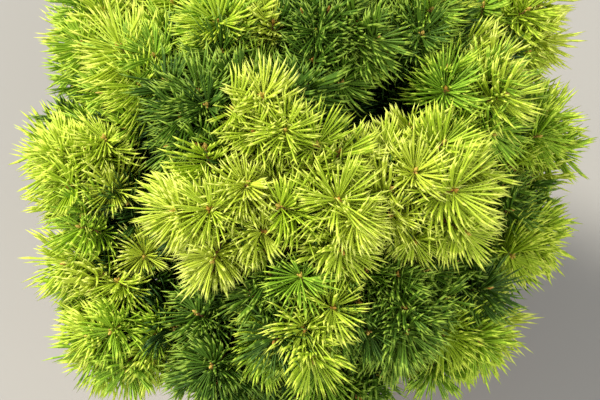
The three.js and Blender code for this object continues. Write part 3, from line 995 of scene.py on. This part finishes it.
def needlesOf(one, rng):
    count = spray["pairs"]
    strays = rng.uniform(-spray["unevenly"], spray["unevenly"], count)
    share = spray["foot"] + spray["covers"] * (np.arange(count) + strays) / count
    share = np.clip(share, *spray["ends"])
    turn = np.arange(count) * math.radians(spray["goldenAngle"])
    turn += rng.uniform(-spray["twists"], spray["twists"], count)
    opening = mix(spray["wide"], spray["narrow"], share ** spray["narrows"])
    angle = np.radians(opening + rng.normal(0, spray["unruly"], count))
    heading = one["heading"]
    side, other = crossUnits(heading[None])
    ring = side * np.cos(turn)[:, None] + other * np.sin(turn)[:, None]
    base = one["base"] + heading * (share * shoot["length"] * one["size"])[:, None]
    base = base + ring * spray["offTwig"]
    results = []
    for sign in (-1, 1):
        apart = spray["spread"] + rng.uniform(*spray["spreadVaries"], count)
        twist = np.radians(sign * apart)
        tangent = np.cross(heading, ring)
        turned = ring * np.cos(twist)[:, None] + tangent * np.sin(twist)[:, None]
        way = heading * np.cos(angle)[:, None] + turned * np.sin(angle)[:, None]
        length = rng.uniform(*spray["length"], count) * mix(1.0, spray["atTip"], share)
        length = length * one["size"]
        short = rng.random(count) < spray["shortOnes"]
        length *= np.where(short, rng.uniform(*spray["shortened"], count), 1)
        results.append((base, way, length, tangent))
    base, way, length, across = (np.concatenate(part) for part in zip(*results))
    return base, way, length, across


# How far needles may mix with those of the next mass, and how they are shortened
trim = {"mixing": (-1, 8), "times": 2, "shorter": 0.72, "tested": (0.5, 0.75, 1.0), "room": 0.8}


# Shortens needles that leave the mass's reach or touch the pot, and says which may stay
def keepNeedles(base, way, length, i, rng):
    slack = rng.uniform(*trim["mixing"], len(base))
    for _ in range(trim["times"]):
        tip = base + way * length[:, None]
        out = (cellDepth(tip, i) < -slack) | ~clearOfPot(tip)
        length = np.where(out, length * trim["shorter"], length)
    tip = base + way * length[:, None]
    keep = (cellDepth(tip, i) > -slack) & clearOfPot(tip)
    for part in trim["tested"]:
        keep &= limbRoom(base + way * (length * part)[:, None]) > trim["room"]
    return keep, length


# How many of a mass's shoots are of the deeper greens, which stand partly for older needles and
# partly for painted shade on the masses that lie in shadow. Fewer of those on its crest are, so
# the crest takes painted light along with its young growth, except in masses that are nearly all
# deep.
deepShare = {
    "top": 0.95, "top_left": 0.9, "top_back": 0.3, "shoulder_back": 0.75,
    "shoulder_back_right": 0.7, "front_left": 0.95, "front_low": 0.9, "front": 0.6,
    "front_right": 0.85, "right_front": 0.4, "right": 0.45, "right_rear": 0.3,
    "back_right": 0.6, "back": 0.5,
}
# The share of low shoots that take the darkest greens paints shade under the masses, and the
# distance behind the hub starts the painted shade on a mass's far side.
shade = {
    "others": 0.07, "onCrest": 0.3, "nearlyAll": 0.8, "lowOldAndShaded": 0.6, "behindBy": 8,
    "dull": (2, 4), "light": (1, 3),
}

# Masses in which the two dullest of the young tints are replaced by the two lightest, as painted
# light on the masses that face the light, and one with no young tints behind its hub, as painted
# shade on its far side
lit = ("shoulder_front_left", "shoulder_front", "shoulder_front_right", "top_front")
shadedBehind = ("top_front",)


# The colour of a shoot's needles: the darkest greens inside the crown, for old needles with
# painted shade, and on most low shoots, as painted shade under the masses; deep on as many of the
# others as the mass has, partly older needles and partly painted shade; and otherwise young
def tintOf(one, i, rng):
    place, row = names[i], one["row"]
    if row == innerRow or (row in lowRows and rng.random() < shade["lowOldAndShaded"]):
        return firstOldAndShaded + int(rng.integers(0, len(oldAndShadedTints)))
    share = deepShare.get(place, shade["others"])
    if place in shadedBehind and one["base"][1] > hubs[i][1] + shade["behindBy"]:
        share = 1
    if row in crestRows and share < shade["nearlyAll"]:
        share *= shade["onCrest"]
    if rng.random() < share:
        tint = firstDeep + int(rng.integers(0, len(deepTints)))
    else:
        tint = int(rng.integers(0, len(youngTints)))
    standsOut = place in bold and row == leadRow
    if standsOut or (place in lit and tint in shade["dull"]):
        tint = shade["light"][one["seed"] % 2]
    return tint


def growYoung(pile, i, shoots, rng):
    for one in shoots:
        base, way, length, across = needlesOf(one, rng)
        keep, length = keepNeedles(base, way, length, i, rng)
        kept = int(keep.sum())
        tint = np.full(kept, tintOf(one, i, rng))
        bendTo = np.tile(one["heading"], (kept, 1))
        addNeedles(pile, base[keep], way[keep], bendTo, length[keep], across[keep], tint)


# The two ends of a mass's stem: the foot is just past the bough's tip
def stemOf(i):
    foot = hubs[i] + axes[i] * (0.3 - stem["length"])
    return foot, hubs[i] + axes[i] * (stem["past"] + 2)


# Old needles along the twigs, the stem and most of the bough
oldNeedles = {
    "onTwig": 18, "alongTwig": (0.15, 0.98), "onStem": 70, "alongStem": (0.02, 0.95),
    "onBough": 130, "alongBough": (0.2, 1.0), "opens": (52, 88), "length": (24, 36),
}


def growOld(pile, i, shoots, rng):
    foot, crest = stemOf(i)
    bases, ways = [], []
    for one in shoots:
        share = rng.uniform(*oldNeedles["alongTwig"], oldNeedles["onTwig"])[:, None]
        bases.append(one["root"] + (one["base"] - one["root"]) * share)
        ways.append(np.tile(unit(one["base"] - one["root"]), (len(share), 1)))
    share = rng.uniform(*oldNeedles["alongStem"], oldNeedles["onStem"])[:, None]
    bases.append(foot + (crest - foot) * share)
    ways.append(np.tile(axes[i], (len(share), 1)))
    if i != leader:
        for share in rng.uniform(*oldNeedles["alongBough"], oldNeedles["onBough"]):
            bases.append(pointAt(limbs[i][0], share)[None])
            ways.append(tangentAt(limbs[i][0], share)[None])
    base, along = np.concatenate(bases), np.concatenate(ways)
    side, other = crossUnits(along)
    turn = rng.uniform(0, 2 * math.pi, len(base))[:, None]
    ring = side * np.cos(turn) + other * np.sin(turn)
    angle = np.radians(rng.uniform(*oldNeedles["opens"], len(base)))[:, None]
    way = along * np.cos(angle) + ring * np.sin(angle)
    length = rng.uniform(*oldNeedles["length"], len(base))
    keep, length = keepNeedles(base, way, length, i, rng)
    # The darkest greens, for old needles together with painted shade inside the crown
    tint = firstOldAndShaded + rng.integers(0, len(oldAndShadedTints), int(keep.sum()))
    addNeedles(pile, base[keep], way[keep], along[keep], length[keep],
               np.cross(along, ring)[keep], tint)


def tipOf(one):
    return one["base"] + one["heading"] * shoot["length"] * one["size"]


# The stem of a mass, and the twig that carries each of its shoots on to its tip
twig = {"root": 1.75, "tip": 1.0, "sides": 6, "stemSides": 8, "rings": 6}


def addTwigs(pile, i, shoots):
    foot, crest = stemOf(i)
    shares = np.linspace(0, 1, twig["rings"])
    rings = foot + (crest - foot) * shares[:, None]
    addTubes(pile, rings[None], mix(stem["root"], stem["crest"], shares)[None],
             twig["stemSides"], 0)
    for one in shoots:
        line = bezier(one["root"], one["base"], tipOf(one))
        rings = np.array([pointAt(line, share) for share in shares])
        kind = 0 if one["row"] == lowestRow else 1
        addTubes(pile, rings[None], mix(twig["root"], twig["tip"], shares)[None],
                 twig["sides"], kind)


# A bud at the tip of each shoot, with some small ones round it
bud = {
    "lead": 0.7, "side": 0.42, "around": 3, "below": 1.5, "off": 1.4, "leans": 0.6, "sides": 5,
    "steps": (-1.5, 0.6, 2.6, 5.0, 6.6), "radii": (0.9, 1.75, 1.9, 1.1, 0.15),
}


def addBuds(pile, shoots, rng):
    centres, radii, kinds = [], [], []
    for one in shoots:
        end, heading = tipOf(one), one["heading"]
        side, other = crossUnits(heading[None])
        buds = [(end, heading, bud["lead"])]
        for k in range(bud["around"]):
            turn = 2 * math.pi * (k + rng.uniform(0, 0.5)) / bud["around"]
            ring = side[0] * math.cos(turn) + other[0] * math.sin(turn)
            place = end - heading * bud["below"] + ring * bud["off"]
            buds.append((place, unit(heading + ring * bud["leans"]), bud["side"]))
        for place, way, size in buds:
            centres.append(place + way * np.array(bud["steps"])[:, None] * size)
            radii.append(np.array(bud["radii"]) * size)
            kinds.append(one["seed"] % 2)
    centres, radii, kinds = np.array(centres), np.array(radii), np.array(kinds)
    for kind in (0, 1):
        chosen = kinds == kind
        if chosen.any():
            addTubes(pile, centres[chosen], radii[chosen], bud["sides"], kind)


# The pieces of needles and the masses in each
groups = {
    "skirt_front": ["right_front", "front_right", "front", "front_low", "front_left"],
    "skirt_left": ["left_front", "left_low", "left", "left_rear"],
    "skirt_back": ["left_back", "back_left", "back", "back_right"],
    "skirt_right": ["right_back", "right_rear", "right"],
    "shoulders_front": ["shoulder_right", "shoulder_front_right", "shoulder_front",
                        "shoulder_front_left"],
    "shoulders_back": ["shoulder_left", "shoulder_back_left", "shoulder_back",
                       "shoulder_back_right"],
    "top": ["top_front", "top_left", "top_back", "top"],
}
firstSeed = 100
twigPile, budPile = Pile(), Pile()
for group, places in groups.items():
    needlePile = Pile()
    for place in places:
        i = names.index(place)
        rng = np.random.default_rng(firstSeed + i)
        shoots = shootsOf(i)
        addTwigs(twigPile, i, shoots)
        addBuds(budPile, [one for one in shoots if one["row"] != innerRow], rng)
        growYoung(needlePile, i, shoots, rng)
        growOld(needlePile, i, shoots, rng)
    piece = needlePile.build("needles_" + group, needleMaterials)
    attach(piece, "root")
    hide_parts(*["foliage_" + place for place in places])

twigs = twigPile.build("twigs", [bark, twigBark])
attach(twigs, "root")
buds = budPile.build("buds", [budBrown, budOchre])
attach(buds, "root")
print("foliage grown")


# A plain pale floor: half its width in metres, its colour and roughness
floorLook = {"half": 20, "colour": "98948d", "rough": 0.9}
bm = bmesh.new()
bmesh.ops.create_grid(bm, x_segments=1, y_segments=1, size=floorLook["half"])
mesh = bpy.data.meshes.new("floor")
bm.to_mesh(mesh)
bm.free()
floor = addObject("floor", mesh)
mesh.materials.append(plainMaterial("paleFloor", floorLook["colour"], floorLook["rough"]))
